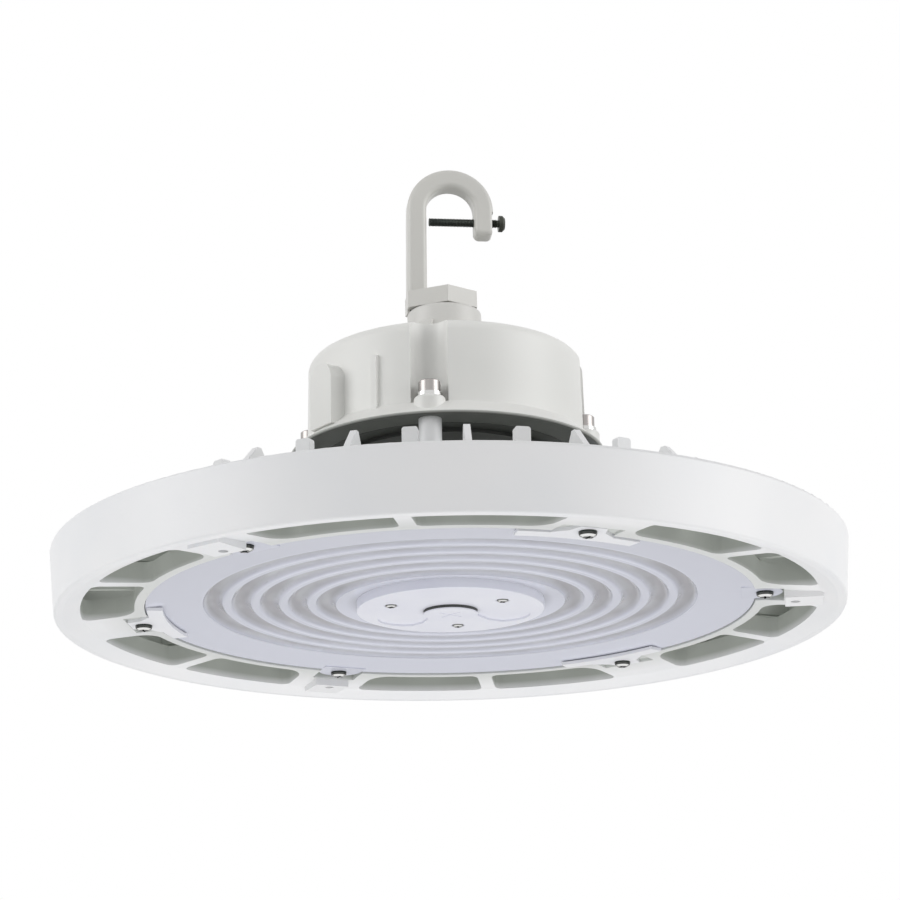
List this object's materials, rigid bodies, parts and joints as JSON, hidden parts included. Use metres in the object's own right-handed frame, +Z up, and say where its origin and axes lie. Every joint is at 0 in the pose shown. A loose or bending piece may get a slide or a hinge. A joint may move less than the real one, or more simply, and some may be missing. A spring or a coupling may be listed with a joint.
{
  "type": "high bay light",
  "caption": "Round high bay light: a white finned ring around a drum driver housing, a grooved ring lens with a centre cover, and a screw-locked hook on top.",
  "frame": {"origin": "centre of the rim's bottom plane", "axes": "+Z up through the hook; +X to the right and -Y to the front as the light was drawn"},
  "size_m": [0.3598, 0.3598, 0.2183],
  "materials": {
    "white_cast": "satin white powder coat on cast aluminium",
    "housing_cast": "satin pale grey-white powder coat on cast aluminium",
    "hook_cast": "satin light grey coat on cast steel",
    "lens_plastic": "clear polycarbonate with a milky lavender cast",
    "cover_plastic": "white moulded plastic",
    "screw_steel": "bright stainless steel",
    "dark_screw": "dark coated steel",
    "board_white": "white solder mask on an aluminium board",
    "chip_phosphor": "pale yellow phosphor",
    "seal_rubber": "grey silicone",
    "dark_plate": "dark grey sheet",
    "driver_case": "plain extruded case",
    "sleeve_plastic": "pale plastic tube"
  },
  "bodies": {
    "root": {"heat_sink": "white_cast", "lens": "lens_plastic", "lens_gasket": "seal_rubber", "lens_clip_1": "cover_plastic", "lens_clip_2": "cover_plastic", "lens_clip_3": "cover_plastic", "lens_screws": "screw_steel", "clip_screws": "screw_steel", "led_board": "board_white", "led_ring_1": "chip_phosphor", "led_ring_2": "chip_phosphor", "led_ring_3": "chip_phosphor", "led_ring_4": "chip_phosphor", "led_ring_5": "chip_phosphor", "board_screws": "screw_steel", "board_connector": "cover_plastic", "sensor_cover": "cover_plastic", "sensor_plug": "cover_plastic", "sensor_socket": "cover_plastic", "plug_seal": "seal_rubber", "cover_screws": "screw_steel", "driver_housing": "housing_cast", "driver_base": "dark_plate", "base_gasket": "seal_rubber", "base_screws": "screw_steel", "led_driver": "driver_case", "driver_screws": "screw_steel", "driver_bolts": "screw_steel", "bolt_washers": "screw_steel", "wire_sleeve": "sleeve_plastic", "hub_collar": "housing_cast", "hub_gasket": "seal_rubber", "hub_locknut": "screw_steel", "hook": "hook_cast", "hook_screw": "dark_screw"}
  },
  "joints": []
}
